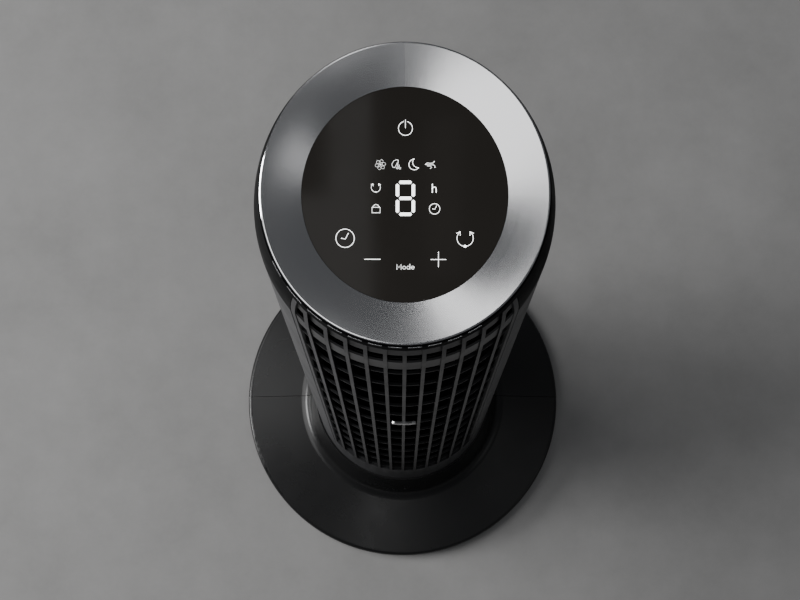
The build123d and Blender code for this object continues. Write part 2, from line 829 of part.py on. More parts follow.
with BuildPart() as motor_grommets:
    with BuildSketch(motor_plane(motor_top)):
        with PolarLocations(motor_screw_circle, 3, start_angle=90):
            Circle(6)
            Circle(1.7, mode=Mode.SUBTRACT)
    extrude(amount=motor_plate_bottom - motor_top)
save(motor_grommets, "motor_grommets")

with BuildPart() as motor_screws:
    with Locations((0, impeller_y, duct_bottom)):
        with PolarLocations(motor_screw_circle, 3, start_angle=90):
            add(pan_screw(3.0, 1.8, 1.45, 11.0))
save(motor_screws, "motor_screws")


# ------------------------------------------------------------------- impeller
with BuildPart() as rotor:
    with BuildSketch(motor_plane(stator_bottom + 1)):
        Circle(rotor_radius)
        Circle(shaft_radius, mode=Mode.SUBTRACT)
    extrude(amount=stator_height - 2)
save(rotor, "rotor")

with BuildPart() as drive_shaft:
    with BuildSketch(motor_plane(motor_bottom + 1)):
        Circle(shaft_radius)
    extrude(amount=impeller_bottom + 14 - motor_bottom - 1)
    chamfer(drive_shaft.edges().filter_by(GeomType.CIRCLE), length=0.5)
save(drive_shaft, "drive_shaft")

with BuildPart() as impeller_hub:
    with BuildSketch(motor_plane(impeller_bottom)):
        Circle(impeller_radius)
    extrude(amount=end_disc_thickness)
    with BuildSketch(motor_plane(impeller_bottom - 8)):
        Circle(10.5)
    extrude(amount=24)
    with BuildSketch(motor_plane(impeller_bottom + end_disc_thickness)):
        with PolarLocations(22, 6):
            Rectangle(26, 1.6)
    extrude(amount=5)
    with BuildSketch(motor_plane(impeller_bottom - 8)):
        Circle(shaft_radius)
    extrude(amount=24, mode=Mode.SUBTRACT)
save(impeller_hub, "impeller_hub")


def impeller_cell(bottom):
    """One moulded cell of the impeller: a ring of curved blades closed by a flat ring."""
    blade_height = cell_pitch - cell_disc_thickness
    with BuildPart() as cell:
        with BuildSketch(motor_plane(bottom)):
            with PolarLocations(0, blade_count):
                with BuildLine():
                    ThreePointArc((36.2, 0), (40.4, 2.1), (42.6, 6.4))
                    Line((42.6, 6.4), (41.7, 6.9))
                    ThreePointArc((41.7, 6.9), (39.7, 3.0), (36.1, 1.0))
                    Line((36.1, 1.0), (36.2, 0))
                make_face()
        extrude(amount=blade_height)
        with BuildSketch(motor_plane(bottom + blade_height)):
            Circle(impeller_radius)
            Circle(impeller_bore_radius, mode=Mode.SUBTRACT)
        extrude(amount=cell_disc_thickness)
    return cell.part


first_cell = impeller_cell(impeller_bottom + end_disc_thickness)
for section in range(section_count):
    with BuildPart() as impeller_section:
        for cell in range(cells_per_section):
            with Locations((0, 0, (section * cells_per_section + cell) * cell_pitch)):
                add(first_cell)
    save(impeller_section, f"impeller_section_{section + 1}")

with BuildPart() as impeller_end_disc:
    with BuildSketch(motor_plane(impeller_top)):
        Circle(impeller_radius)
    extrude(amount=2)
    with BuildSketch(motor_plane(impeller_top)):
        Circle(8)
    extrude(amount=5)
    with BuildSketch(motor_plane(impeller_top)):
        Circle(pin_radius)
    extrude(amount=5, mode=Mode.SUBTRACT)
save(impeller_end_disc, "impeller_end_disc")

with BuildPart() as bearing_pin:
    with BuildSketch(motor_plane(impeller_top)):
        Circle(pin_radius)
    extrude(amount=18)
save(bearing_pin, "bearing_pin")

holder_bottom = top_plate_bottom + 1
holder_height = 9.0
with BuildPart() as top_bearing:
    with BuildSketch(motor_plane(holder_bottom + 1)):
        Circle(7.5)
        Circle(pin_radius + running_gap, mode=Mode.SUBTRACT)
    extrude(amount=7)
save(top_bearing, "top_bearing")

with BuildPart() as bearing_holder:
    with BuildSketch(motor_plane(holder_bottom)):
        Circle(holder_radius)
        Circle(7.5, mode=Mode.SUBTRACT)
    extrude(amount=holder_height)
save(bearing_holder, "bearing_holder")


# ----------------------------------------------------------------------- head
ledge_radius = 76.0
ledge_inner_radius = 62.0
collar_wall = 2.4
ledge_drop = bezel_thickness + carrier_thickness
carrier_screw_places = [(0, 69), (67, 0), (0, -69), (-67, 0)]

with BuildPart() as collar_posts:
    with BuildSketch(Plane.XY.offset(top_plate_bottom + top_plate_thickness)):
        with Locations(*collar_post_places):
            Circle(4)
            Circle(1.25, mode=Mode.SUBTRACT)
    extrude(amount=120)
    split(bisect_by=slanted_plane(ledge_drop + ledge_thickness / 2), keep=Keep.BOTTOM)

with BuildPart() as collar_front_cut:
    add(front_wedge(grille_half_angle, 800, 1000))
    split(bisect_by=slanted_plane(lip_drop - seam), keep=Keep.BOTTOM)

with BuildPart() as head_collar:
    add(tower_form(0, 850))
    add(tower_form(collar_wall, 849), mode=Mode.SUBTRACT)
    split(bisect_by=slanted_plane(knee_drop - seam), keep=Keep.TOP)
    add(collar_front_cut, mode=Mode.SUBTRACT)
    add(head_disc(ledge_radius, ledge_inner_radius, ledge_drop, ledge_thickness))
    add(head_disc(carrier_radius + face_gap, 0, 0, ledge_drop), mode=Mode.SUBTRACT)
    split(bisect_by=slanted_plane(bezel_thickness + face_gap), keep=Keep.BOTTOM)
    add(collar_posts)
    with BuildSketch(slanted_plane(ledge_drop + ledge_thickness)):
        with Locations(*carrier_screw_places):
            Circle(1.6)
    extrude(amount=4, both=True, mode=Mode.SUBTRACT)
save(head_collar, "head_collar")

with BuildPart() as bezel_funnel_form:
    with BuildSketch(slanted_plane(0)):
        Ellipse(bezel_radius - bezel_lip, (bezel_radius - bezel_lip) / tilt_cos)
    with BuildSketch(slanted_plane(bezel_dish)):
        Ellipse(glass_radius, glass_radius / tilt_cos)
    loft()
bezel_funnel = bezel_funnel_form.part

with BuildPart() as bezel_ring:
    add(head_disc(bezel_radius, glass_radius, 0, bezel_thickness))
    # The face dips towards the glass; a narrow flat lip stays round the outside.
    add(bezel_funnel, mode=Mode.SUBTRACT)
    outer_edges = bezel_ring.edges().filter_by(GeomType.ELLIPSE).sort_by(SortBy.LENGTH)[-2:]
    chamfer(outer_edges.sort_by(Axis.Z)[-1], length=0.45)
save(bezel_ring, "bezel_ring")

with BuildPart() as glass_panel:
    add(head_disc(glass_radius - face_gap, 0, bezel_dish, glass_thickness))
save(glass_panel, "glass_panel")

# Places on the sloping face: x to the right, y up the slope.
power_key = (0, 34.1)
timer_key = (-31.2, -23.0)
swing_key = (30.9, -23.4)
minus_key = (-17.2, -33.9)
plus_key = (17.1, -34.0)
mode_key = (0, -38.0)
touch_keys = (power_key, timer_key, swing_key, minus_key, plus_key, mode_key)
mode_lights = ((-12.8, 15.3), (-4.8, 15.3), (4.3, 15.3), (13.2, 15.3))
side_lights = ((-15.2, 3.5), (14.8, 2.9), (-15.1, -7.4), (14.8, -7.6))
digit_place = (0, -2.1)
receiver_place = (8.7, 33.5)
board_post_places = ((33, 28), (-33, 28), (36, -4), (-36, -4))
touch_pad_radius = 4.4


def slanted_places(drop, points, upwards=True):
    """Planes for small parts that stand on, or hang under, a plane parallel to the top face."""
    face = slanted_plane(drop)
    normal = face.z_dir if upwards else -face.z_dir
    return [Plane(face.from_local_coords((x, y, 0)), x_dir=(1, 0, 0), z_dir=normal) for x, y in points]


with BuildPart() as panel_carrier:
    add(head_disc(carrier_radius, 0, bezel_thickness, carrier_thickness))
    with BuildSketch(slanted_plane(ledge_drop)):
        with Locations(*board_post_places):
            Circle(3)
    extrude(amount=board_drop - ledge_drop, dir=(0, 0, -1))
    with BuildSketch(slanted_plane(0)):
        with Locations((0, 4)):
            RectangleRounded(42, 38, 3)
        with Locations(*touch_keys):
            Circle(touch_pad_radius + 0.6)
        with Locations(receiver_place):
            Circle(3.6)
    extrude(amount=10, dir=(0, 0, -1), mode=Mode.SUBTRACT)
    with BuildSketch(slanted_plane(board_drop + board_thickness)):
        with Locations(*board_post_places):
            Circle(1.05)
    extrude(amount=7, mode=Mode.SUBTRACT)
    with BuildSketch(slanted_plane(ledge_drop + ledge_thickness)):
        with Locations(*carrier_screw_places):
            Circle(1.25)
    extrude(amount=4.2, mode=Mode.SUBTRACT)
save(panel_carrier, "panel_carrier")

with BuildPart() as carrier_screws:
    with Locations(*slanted_places(ledge_drop + ledge_thickness, carrier_screw_places, upwards=False)):
        add(pan_screw(2.4, 1.5, 1.15, 3.8))
save(carrier_screws, "carrier_screws")

with BuildPart() as display_board:
    add(head_disc(board_radius, 0, board_drop, board_thickness))
    with BuildSketch(slanted_plane(board_drop + board_thickness)):
        with Locations(*board_post_places):
            Circle(1.4)
    extrude(amount=4, both=True, mode=Mode.SUBTRACT)
save(display_board, "display_board")

with BuildPart() as board_screws:
    with Locations(*slanted_places(board_drop + board_thickness, board_post_places, upwards=False)):
        add(pan_screw(2.2, 1.4, 1.0, 6.0))
save(board_screws, "board_screws")

with BuildPart() as digit_display:
    with BuildSketch(slanted_plane(bezel_thickness + 0.4)):
        with Locations(digit_place):
            Rectangle(12.6, 21)
    extrude(amount=board_drop - bezel_thickness - 0.4, dir=(0, 0, -1))
save(digit_display, "digit_display")

with BuildPart() as icon_leds:
    with BuildSketch(slanted_plane(board_drop - 2)):
        with Locations(*touch_keys, *mode_lights, *side_lights):
            Rectangle(2.8, 2.8)
    extrude(amount=2, dir=(0, 0, -1))
save(icon_leds, "icon_leds")

with BuildPart() as touch_pads:
    with BuildSketch(slanted_plane(bezel_thickness)):
        with Locations(*touch_keys):
            Circle(touch_pad_radius)
            Circle(touch_pad_radius - 1.6, mode=Mode.SUBTRACT)
    extrude(amount=board_drop - bezel_thickness, dir=(0, 0, -1))
save(touch_pads, "touch_pads")

with BuildPart() as remote_receiver:
    with BuildSketch(slanted_plane(bezel_thickness + 2)):
        with Locations(receiver_place):
            RectangleRounded(4.6, 5.4, 1.2)
    extrude(amount=board_drop - bezel_thickness - 2, dir=(0, 0, -1))
save(remote_receiver, "remote_receiver")

with BuildPart() as collar_screws:
    with Locations(*[Location((x, y, top_plate_bottom), (180, 0, 0)) for x, y in collar_post_places]):
        add(pan_screw(2.6, 1.6, 1.2, 12.0))
save(collar_screws, "collar_screws")


# ---------------------------------------------------------------- electronics
with BuildPart() as power_board:
    with Locations((0, board_y, board_bottom + board_height / 2)):
        Box(board_width, board_depth - 0.1, board_height)
save(power_board, "power_board")

board_back = Plane(
    origin=(0, board_y + board_depth / 2 - 0.05, board_bottom),
    x_dir=(-1, 0, 0),
    z_dir=(0, 1, 0),
)
with BuildPart() as power_parts:
    with BuildSketch(board_back):
        with Locations((28, 44)):
            Rectangle(22, 18)
    extrude(amount=13)
    with BuildSketch(board_back):
        with Locations((4, 50), (-8, 50)):
            Circle(5)
        with Locations((5, 34)):
            Rectangle(9, 6)
        with Locations((-24, 48)):
            Rectangle(16, 6)
    extrude(amount=10)
    with BuildSketch(board_back):
        with Locations((32, 14), (-32, 8)):
            Rectangle(12, 6)
        with Locations((-8, 34)):
            Rectangle(8, 8)
    extrude(amount=6)
save(power_parts, "power_parts")

# Signal cable: up the closed channel beside the duct, then across to the display board.
cable_radius = 1.8
cable_start = (32, board_y + 9, board_bottom + 11)
cable_end_x = 20
cable_end_y = 6
board_underside = head_centre_height - board_drop - board_thickness
with BuildPart() as display_cable:
    with BuildLine() as cable_route:
        FilletPolyline(
            cable_start,
            (34, board_y + 10, board_bottom + 26),
            (cable_channel[0], cable_channel[1], board_bottom + 54),
            (cable_channel[0], cable_channel[1], top_plate_bottom + 16),
            (cable_end_x + 20, cable_end_y - 16, top_plate_bottom + 48),
            (cable_end_x, cable_end_y, board_underside - 0.6),
            radius=(14, 30, 30, 30),
        )
    with BuildSketch(Plane(origin=cable_route.line @ 0, z_dir=cable_route.line % 0)):
        Circle(cable_radius)
    sweep()
save(display_cable, "display_cable")
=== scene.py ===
import json
import math

import bmesh
import bpy
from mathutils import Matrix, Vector


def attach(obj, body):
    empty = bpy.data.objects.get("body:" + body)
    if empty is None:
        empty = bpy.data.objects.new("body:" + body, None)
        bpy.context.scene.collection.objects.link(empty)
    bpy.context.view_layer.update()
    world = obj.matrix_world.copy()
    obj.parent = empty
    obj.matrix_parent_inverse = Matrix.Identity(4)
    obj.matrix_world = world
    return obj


# Tower fan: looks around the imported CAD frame. Metres, +Z up, front towards -Y.
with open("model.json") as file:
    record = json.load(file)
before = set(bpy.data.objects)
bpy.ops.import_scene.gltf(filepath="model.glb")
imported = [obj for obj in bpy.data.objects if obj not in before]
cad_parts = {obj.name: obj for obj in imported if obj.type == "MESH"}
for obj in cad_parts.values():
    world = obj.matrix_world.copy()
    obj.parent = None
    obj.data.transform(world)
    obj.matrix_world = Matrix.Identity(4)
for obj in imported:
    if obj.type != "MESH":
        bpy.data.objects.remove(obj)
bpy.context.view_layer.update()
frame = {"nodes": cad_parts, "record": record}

MM = 0.001
HEAD_TILT = math.radians(16.7)
HEAD_CENTRE = Vector((0.0, 0.0, 0.9675))
BEZEL_DISH = 1.9 * MM
PRINT_SHIFT = (0.3, 0.65)
PRINT_LIFT = 0.02 * MM
PRINT_THICKNESS = 0.03 * MM
RIB_PITCH = 10.5 * MM
RIB_CLEARANCE = 1.5 * MM
# Arc, in degrees, and steps of the painted highlight line round the collar's top edge.
HIGHLIGHT_START, HIGHLIGHT_END, HIGHLIGHT_STEPS = 205, 302, 600
CEILING = 3.0
FLOOR_SIZE = 9.0
WORLD_COLOUR = (0.92, 0.95, 1.0, 1.0)
WORLD_STRENGTH = 0.1
CAMERA_PLACE = (-0.0025, -0.2230, 2.0107)
CAMERA_TILT = math.radians(9.143)
CAMERA_LENS = 92.79


# ------------------------------------------------------------------ node tools
class Shader:
    """Short way to build a procedural material."""

    def __init__(self, name):
        self.material = bpy.data.materials.new(name)
        self.material.use_nodes = True
        self.tree = self.material.node_tree
        self.bsdf = self.tree.nodes["Principled BSDF"]
        self.coordinates = self.node("ShaderNodeTexCoord").outputs["Object"]

    def node(self, kind, **settings):
        made = self.tree.nodes.new(kind)
        for key, value in settings.items():
            setattr(made, key, value)
        return made

    def link(self, output, target):
        self.tree.links.new(output, target)

    def scaled(self, scale):
        """Coordinates stretched by a three-part scale."""
        mapping = self.node("ShaderNodeMapping")
        mapping.inputs["Scale"].default_value = scale
        self.link(self.coordinates, mapping.inputs["Vector"])
        return mapping.outputs["Vector"]

    def noise(self, scale, detail=3.0, rough=0.55, source=None):
        made = self.node("ShaderNodeTexNoise")
        made.inputs["Scale"].default_value = scale
        made.inputs["Detail"].default_value = detail
        made.inputs["Roughness"].default_value = rough
        self.link(source or self.coordinates, made.inputs["Vector"])
        return made.outputs["Fac"]

    def voronoi(self, scale):
        made = self.node("ShaderNodeTexVoronoi")
        made.inputs["Scale"].default_value = scale
        self.link(self.coordinates, made.inputs["Vector"])
        return made.outputs["Distance"]

    def ramp(self, factor, stops):
        """Colour ramp; stops are (position, grey or colour)."""
        made = self.node("ShaderNodeValToRGB")
        ramp = made.color_ramp
        while len(ramp.elements) < len(stops):
            ramp.elements.new(0.5)
        for element, (position, colour) in zip(ramp.elements, stops):
            rgb = (colour,) * 3 if isinstance(colour, (int, float)) else colour
            element.position = position
            element.color = (*rgb, 1.0)
        self.link(factor, made.inputs["Fac"])
        return made.outputs["Color"]

    def blend(self, factor, first, second, mode="MIX"):
        """Mix of two colours or colour outputs; factor is a number or an output."""
        made = self.node("ShaderNodeMix", data_type="RGBA", blend_type=mode)
        for value, socket in ((factor, 0), (first, 6), (second, 7)):
            if isinstance(value, (int, float)):
                made.inputs[socket].default_value = value
            elif isinstance(value, tuple):
                made.inputs[socket].default_value = (*value, 1.0)
            else:
                self.link(value, made.inputs[socket])
        return made.outputs[2]

    def maths(self, operation, first, second=0.0):
        made = self.node("ShaderNodeMath", operation=operation)
        for index, value in enumerate((first, second)):
            if isinstance(value, (int, float)):
                made.inputs[index].default_value = value
            else:
                self.link(value, made.inputs[index])
        return made.outputs[0]

    def bump(self, height, strength, distance, normal=None):
        made = self.node("ShaderNodeBump")
        made.inputs["Strength"].default_value = strength
        made.inputs["Distance"].default_value = distance
        self.link(height, made.inputs["Height"])
        if normal is not None:
            self.link(normal, made.inputs["Normal"])
        return made.outputs["Normal"]

    def edges(self, low, high):
        """1 on worn outer edges, 0 elsewhere, broken up by noise."""
        geometry = self.node("ShaderNodeNewGeometry")
        edge = self.ramp(geometry.outputs["Pointiness"], ((low, 0.0), (high, 1.0)))
        return self.blend(1.0, edge, self.noise(90.0, 4.0), "MULTIPLY")

    def set(self, **values):
        """Constant values for the surface's own sockets, named with underscores for spaces."""
        for name, value in values.items():
            self.bsdf.inputs[name.replace("_", " ")].default_value = value

    def colour(self, output):
        self.link(output, self.bsdf.inputs["Base Color"])

    def roughness(self, output):
        self.link(output, self.bsdf.inputs["Roughness"])

    def normal(self, output):
        self.link(output, self.bsdf.inputs["Normal"])


def shade(rgb, factor):
    return tuple(channel * factor for channel in rgb)


# ------------------------------------------------------------------- materials
def moulded_plastic(name, rgb, rough, sheen=0.3, edge_gain=1.7):
    """Moulded plastic: fine spark-eroded grain, slow flow marks and lightly rubbed edges."""
    s = Shader(name)
    clouds = s.noise(7.0, 3.0)
    base = s.ramp(clouds, ((0.3, shade(rgb, 0.86)), (0.7, shade(rgb, 1.12))))
    dust = s.ramp(s.noise(140.0, 6.0, 0.7), ((0.55, 0.0), (0.8, 0.14)))
    base = s.blend(dust, base, shade(rgb, 1.6))
    s.colour(s.blend(s.edges(0.53, 0.62), base, shade(rgb, edge_gain)))
    smudge = s.noise(22.0, 4.0)
    s.roughness(s.ramp(smudge, ((0.25, rough * 0.85), (0.75, rough * 1.18))))
    grain_height = s.noise(2600.0, 2.0, 0.6)
    flow = s.noise(30.0, 2.0)
    s.normal(s.bump(flow, 0.06, 0.0006, s.bump(grain_height, 0.03, 0.0002)))
    s.set(Specular_IOR_Level=sheen)
    return s.material


def smooth_plastic(name, rgb, rough, sheen):
    """Smooth shell plastic with faint hairlines and finger haze."""
    s = Shader(name)
    base = s.ramp(s.noise(9.0, 2.0), ((0.3, shade(rgb, 0.9)), (0.7, shade(rgb, 1.1))))
    s.colour(s.blend(s.edges(0.53, 0.64), base, shade(rgb, 2.0)))
    haze = s.noise(35.0, 6.0, 0.65)
    s.roughness(s.ramp(haze, ((0.3, rough * 0.8), (0.8, rough * 1.35))))
    hairlines = s.noise(60.0, 2.0, 0.5, s.scaled((1.0, 1.0, 34.0)))
    s.normal(s.bump(hairlines, 0.02, 0.0002))
    s.set(Specular_IOR_Level=sheen)
    return s.material


def spun_metal(name, rgb, rough):
    """Circularly brushed metal: fine rings round the vertical axis."""
    s = Shader(name)
    split = s.node("ShaderNodeSeparateXYZ")
    s.link(s.coordinates, split.inputs[0])
    across = s.maths("MULTIPLY", split.outputs[0], split.outputs[0])
    along = s.maths("MULTIPLY", split.outputs[1], split.outputs[1])
    radius = s.maths("SQRT", s.maths("ADD", across, along))
    angle = s.maths("ARCTAN2", split.outputs[1], split.outputs[0])
    rings = s.node("ShaderNodeCombineXYZ")
    s.link(s.maths("MULTIPLY", radius, 9000.0), rings.inputs[0])
    s.link(s.maths("MULTIPLY", angle, 3.0), rings.inputs[1])
    fine = s.noise(1.0, 3.0, 0.6, rings.outputs[0])
    broad_rings = s.node("ShaderNodeCombineXYZ")
    s.link(s.maths("MULTIPLY", radius, 1400.0), broad_rings.inputs[0])
    s.link(s.maths("MULTIPLY", angle, 1.2), broad_rings.inputs[1])
    broad = s.noise(1.0, 2.0, 0.5, broad_rings.outputs[0])
    lines = s.blend(0.35, fine, broad)
    s.colour(s.ramp(lines, ((0.2, shade(rgb, 0.96)), (0.8, shade(rgb, 1.03)))))
    s.roughness(s.ramp(lines, ((0.2, rough * 0.9), (0.8, rough * 1.1))))
    s.normal(s.bump(lines, 0.003, 0.00005))
    tangent = s.node("ShaderNodeTangent", direction_type="RADIAL", axis="Z")
    s.link(tangent.outputs[0], s.bsdf.inputs["Tangent"])
    s.set(Metallic=1.0, Anisotropic=0.3)
    return s.material


def black_glass(name, rgb):
    """Polished touch glass over a black print, with dust specks and faint finger marks."""
    s = Shader(name)
    tint = s.ramp(s.noise(5.0, 2.0), ((0.3, shade(rgb, 0.85)), (0.7, shade(rgb, 1.15))))
    speck = s.ramp(s.noise(900.0, 2.0, 0.5), ((0.74, 0.0), (0.80, 0.5)))
    s.colour(s.blend(speck, tint, shade(rgb, 3.0)))
    marks = s.noise(60.0, 5.0, 0.7)
    s.roughness(s.ramp(marks, ((0.4, 0.05), (0.75, 0.08))))
    s.normal(s.bump(marks, 0.002, 0.0001))
    s.set(Specular_IOR_Level=0.10)
    return s.material


def plated_steel(name, rgb, rough, metallic=1.0):
    """Rolled or turned metal with fine directional scratches and dull patches."""
    s = Shader(name)
    scratches = s.noise(240.0, 4.0, 0.6, s.scaled((1.0, 14.0, 1.0)))
    patches = s.noise(26.0, 4.0)
    base = s.ramp(scratches, ((0.25, shade(rgb, 0.82)), (0.75, shade(rgb, 1.1))))
    s.colour(s.blend(s.ramp(patches, ((0.5, 0.0), (0.8, 0.35))), base, shade(rgb, 0.6)))
    s.roughness(s.ramp(patches, ((0.3, rough * 0.8), (0.8, rough * 1.3))))
    s.normal(s.bump(scratches, 0.08, 0.0001))
    s.set(Metallic=metallic)
    return s.material


def laminations(name, rgb):
    """Stacked sheet iron: level lines half a millimetre apart."""
    s = Shader(name)
    wave = s.node("ShaderNodeTexWave", wave_type="BANDS", bands_direction="Z")
    wave.inputs["Scale"].default_value = 320.0
    wave.inputs["Distortion"].default_value = 0.2
    s.link(s.coordinates, wave.inputs["Vector"])
    rust = s.ramp(s.noise(50.0, 5.0, 0.7), ((0.5, 0.0), (0.75, 0.4)))
    sheets = s.ramp(wave.outputs["Fac"], ((0.1, shade(rgb, 0.45)), (0.5, rgb)))
    s.colour(s.blend(rust, sheets, (0.20, 0.12, 0.07)))
    s.roughness(s.ramp(wave.outputs["Fac"], ((0.0, 0.6), (1.0, 0.38))))
    s.normal(s.bump(wave.outputs["Fac"], 0.3, 0.0002))
    s.set(Metallic=0.9)
    return s.material


def winding(name, rgb):
    """Enamelled wire laid side by side, with painted shade in the grooves between turns and a painted
    highlight along each wire's crown.
    """
    s = Shader(name)
    wave = s.node("ShaderNodeTexWave", wave_type="BANDS", bands_direction="Z")
    wave.inputs["Scale"].default_value = 420.0
    wave.inputs["Distortion"].default_value = 1.2
    wave.inputs["Detail Scale"].default_value = 1.5
    s.link(s.coordinates, wave.inputs["Vector"])
    # Painted shade in the grooves between turns (dark end of the ramp) and painted highlight on the wire
    # crowns (bright end).
    s.colour(s.ramp(wave.outputs["Fac"], ((0.0, shade(rgb, 0.3)), (0.6, rgb), (1.0, shade(rgb, 1.25)))))
    s.roughness(s.ramp(s.noise(80.0), ((0.3, 0.25), (0.7, 0.45))))
    s.normal(s.bump(wave.outputs["Fac"], 0.6, 0.0003))
    s.set(Metallic=0.7, Coat_Weight=0.5)
    return s.material


def soft_rubber(name, rgb):
    """Matt rubber with a dusty bloom and fine pitting."""
    s = Shader(name)
    bloom = s.ramp(s.noise(45.0, 5.0, 0.7), ((0.45, 0.0), (0.8, 0.5)))
    s.colour(s.blend(bloom, rgb, shade(rgb, 2.6)))
    s.roughness(s.ramp(s.noise(60.0, 3.0), ((0.3, 0.7), (0.7, 0.92))))
    s.normal(s.bump(s.voronoi(1500.0), 0.12, 0.0002))
    return s.material


def board_laminate(name, rgb):
    """Solder-masked board with tracks under the mask."""
    s = Shader(name)
    cells = s.node("ShaderNodeTexBrick")
    cells.inputs["Scale"].default_value = 170.0
    cells.inputs["Mortar Size"].default_value = 0.06
    cells.inputs["Color1"].default_value = (*rgb, 1.0)
    cells.inputs["Color2"].default_value = (*shade(rgb, 0.75), 1.0)
    cells.inputs["Mortar"].default_value = (*shade(rgb, 1.8), 1.0)
    s.link(s.coordinates, cells.inputs["Vector"])
    clouds = s.ramp(s.noise(12.0), ((0.3, shade(rgb, 0.7)), (0.7, rgb)))
    s.colour(s.blend(0.25, cells.outputs["Color"], clouds))
    s.roughness(s.ramp(s.noise(90.0, 3.0), ((0.3, 0.28), (0.7, 0.42))))
    s.normal(s.bump(cells.outputs["Fac"], 0.15, 0.0001))
    s.set(Coat_Weight=0.3)
    return s.material


def lit_mark(name, strength):
    """Backlit white marking with a slightly uneven glow."""
    s = Shader(name)
    glow = s.ramp(s.noise(300.0, 2.0), ((0.2, (0.90, 0.92, 0.93)), (0.8, (1.0, 1.0, 0.98))))
    s.colour(glow)
    s.link(glow, s.bsdf.inputs["Emission Color"])
    s.set(Emission_Strength=strength, Roughness=0.4)
    return s.material


materials = {
    "satin_black_plastic": moulded_plastic("satin_black_plastic", (0.0085, 0.0085, 0.0088), 0.28, 0.42),
    "grille_plastic": moulded_plastic("grille_plastic", (0.036, 0.036, 0.038), 0.38, 0.25),
    "collar_plastic": smooth_plastic("collar_plastic", (0.006, 0.006, 0.0065), 0.45, 0.02),
    "brushed_metal": spun_metal("brushed_metal", (0.66, 0.66, 0.67), 0.085),
    "badge_metal": plated_steel("badge_metal", (0.80, 0.80, 0.81), 0.22),
    "black_glass": black_glass("black_glass", (0.042, 0.0376, 0.033)),
    "duct_plastic": moulded_plastic("duct_plastic", (0.004, 0.004, 0.0042), 0.6, 0.08),
    "impeller_plastic": moulded_plastic("impeller_plastic", (0.005, 0.005, 0.0055), 0.6, 0.08),
    "natural_plastic": moulded_plastic("natural_plastic", (0.62, 0.61, 0.56), 0.42, 0.4, 1.1),
    "steel": plated_steel("steel", (0.52, 0.52, 0.53), 0.34),
    "screw_steel": plated_steel("screw_steel", (0.45, 0.45, 0.47), 0.3),
    "motor_can": plated_steel("motor_can", (0.05, 0.05, 0.055), 0.42, metallic=0.3),
    "iron_laminations": laminations("iron_laminations", (0.34, 0.34, 0.35)),
    "copper_wire": winding("copper_wire", (0.62, 0.24, 0.10)),
    "magnet": moulded_plastic("magnet", (0.07, 0.07, 0.075), 0.55),
    "rubber": soft_rubber("rubber", (0.018, 0.018, 0.019)),
    "bronze": plated_steel("bronze", (0.50, 0.31, 0.14), 0.4),
    "circuit_board": board_laminate("circuit_board", (0.02, 0.12, 0.05)),
    "component_plastic": moulded_plastic("component_plastic", (0.06, 0.06, 0.065), 0.4),
    "led_lens": smooth_plastic("led_lens", (0.8, 0.8, 0.77), 0.3, 0.5),
    "cable_jacket": soft_rubber("cable_jacket", (0.04, 0.04, 0.042)),
}
icon_glow = lit_mark("icon_glow", 3.6)
fine_glow = lit_mark("fine_glow", 2.2)

for part in frame["record"]["subparts"]:
    node = frame["nodes"][part["node"]]
    node.data.materials.clear()
    node.data.materials.append(materials[part["material_slot"]])


# ---------------------------------------------------------------- touch icons
def face_point(x, y, lift):
    """Point on the glass: x to the right, y up the slope, in millimetres."""
    glass_middle = HEAD_CENTRE - Vector((0, 0, BEZEL_DISH))
    right = Vector((1, 0, 0))
    up_slope = Vector((0, math.cos(HEAD_TILT), math.sin(HEAD_TILT)))
    outwards = Vector((0, -math.sin(HEAD_TILT), math.cos(HEAD_TILT)))
    return glass_middle + right * x * MM + up_slope * y * MM + outwards * lift


class Icon:
    """Flat marking on the glass, drawn with strokes and filled shapes, and given a real thickness."""

    def __init__(self, name, x, y):
        self.name, self.x, self.y = name, x + PRINT_SHIFT[0], y + PRINT_SHIFT[1]
        self.mesh = bmesh.new()

    def polygon(self, points):
        corners = [self.mesh.verts.new((self.x + u, self.y + v, 0)) for u, v in points]
        self.mesh.faces.new(corners)

    def stroke(self, points, width, closed=False):
        """Band of even width along points, with round ends where it is open."""
        count = len(points)
        left, right = [], []
        for i, (u, v) in enumerate(points):
            before = points[i - 1] if (i or closed) else points[i]
            after = points[(i + 1) % count] if (i < count - 1 or closed) else points[i]
            du, dv = after[0] - before[0], after[1] - before[1]
            length = math.hypot(du, dv)
            nu, nv = -dv / length * width / 2, du / length * width / 2
            left.append((u + nu, v + nv))
            right.append((u - nu, v - nv))
        for i in range(count if closed else count - 1):
            j = (i + 1) % count
            self.polygon((left[i], right[i], right[j], left[j]))
        if not closed:
            self.dot(points[0][0], points[0][1], width / 2)
            self.dot(points[-1][0], points[-1][1], width / 2)

    def dot(self, u, v, radius, steps=14):
        turns = [2 * math.pi * i / steps for i in range(steps)]
        self.polygon([(u + radius * math.cos(t), v + radius * math.sin(t)) for t in turns])

    def arc(self, u, v, radius, start, end, width, steps=28):
        """Arc in degrees, anticlockwise."""
        turns = [math.radians(start + (end - start) * i / steps) for i in range(steps + 1)]
        self.stroke([(u + radius * math.cos(t), v + radius * math.sin(t)) for t in turns], width)

    def circle(self, u, v, radius, width, steps=40):
        turns = [2 * math.pi * i / steps for i in range(steps)]
        points = [(u + radius * math.cos(t), v + radius * math.sin(t)) for t in turns]
        self.stroke(points, width, closed=True)

    def finish(self, material):
        """Lay the marking on the glass and let it ride with the tower."""
        for vertex in self.mesh.verts:
            vertex.co = face_point(vertex.co.x, vertex.co.y, PRINT_LIFT)
        bmesh.ops.recalc_face_normals(self.mesh, faces=self.mesh.faces)
        data = bpy.data.meshes.new(self.name)
        self.mesh.to_mesh(data)
        self.mesh.free()
        piece = bpy.data.objects.new(self.name, data)
        bpy.context.scene.collection.objects.link(piece)
        solid = piece.modifiers.new("thickness", "SOLIDIFY")
        solid.thickness = PRINT_THICKNESS
        solid.offset = 0
        data.materials.append(material)
        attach(piece, "tower")
        return piece


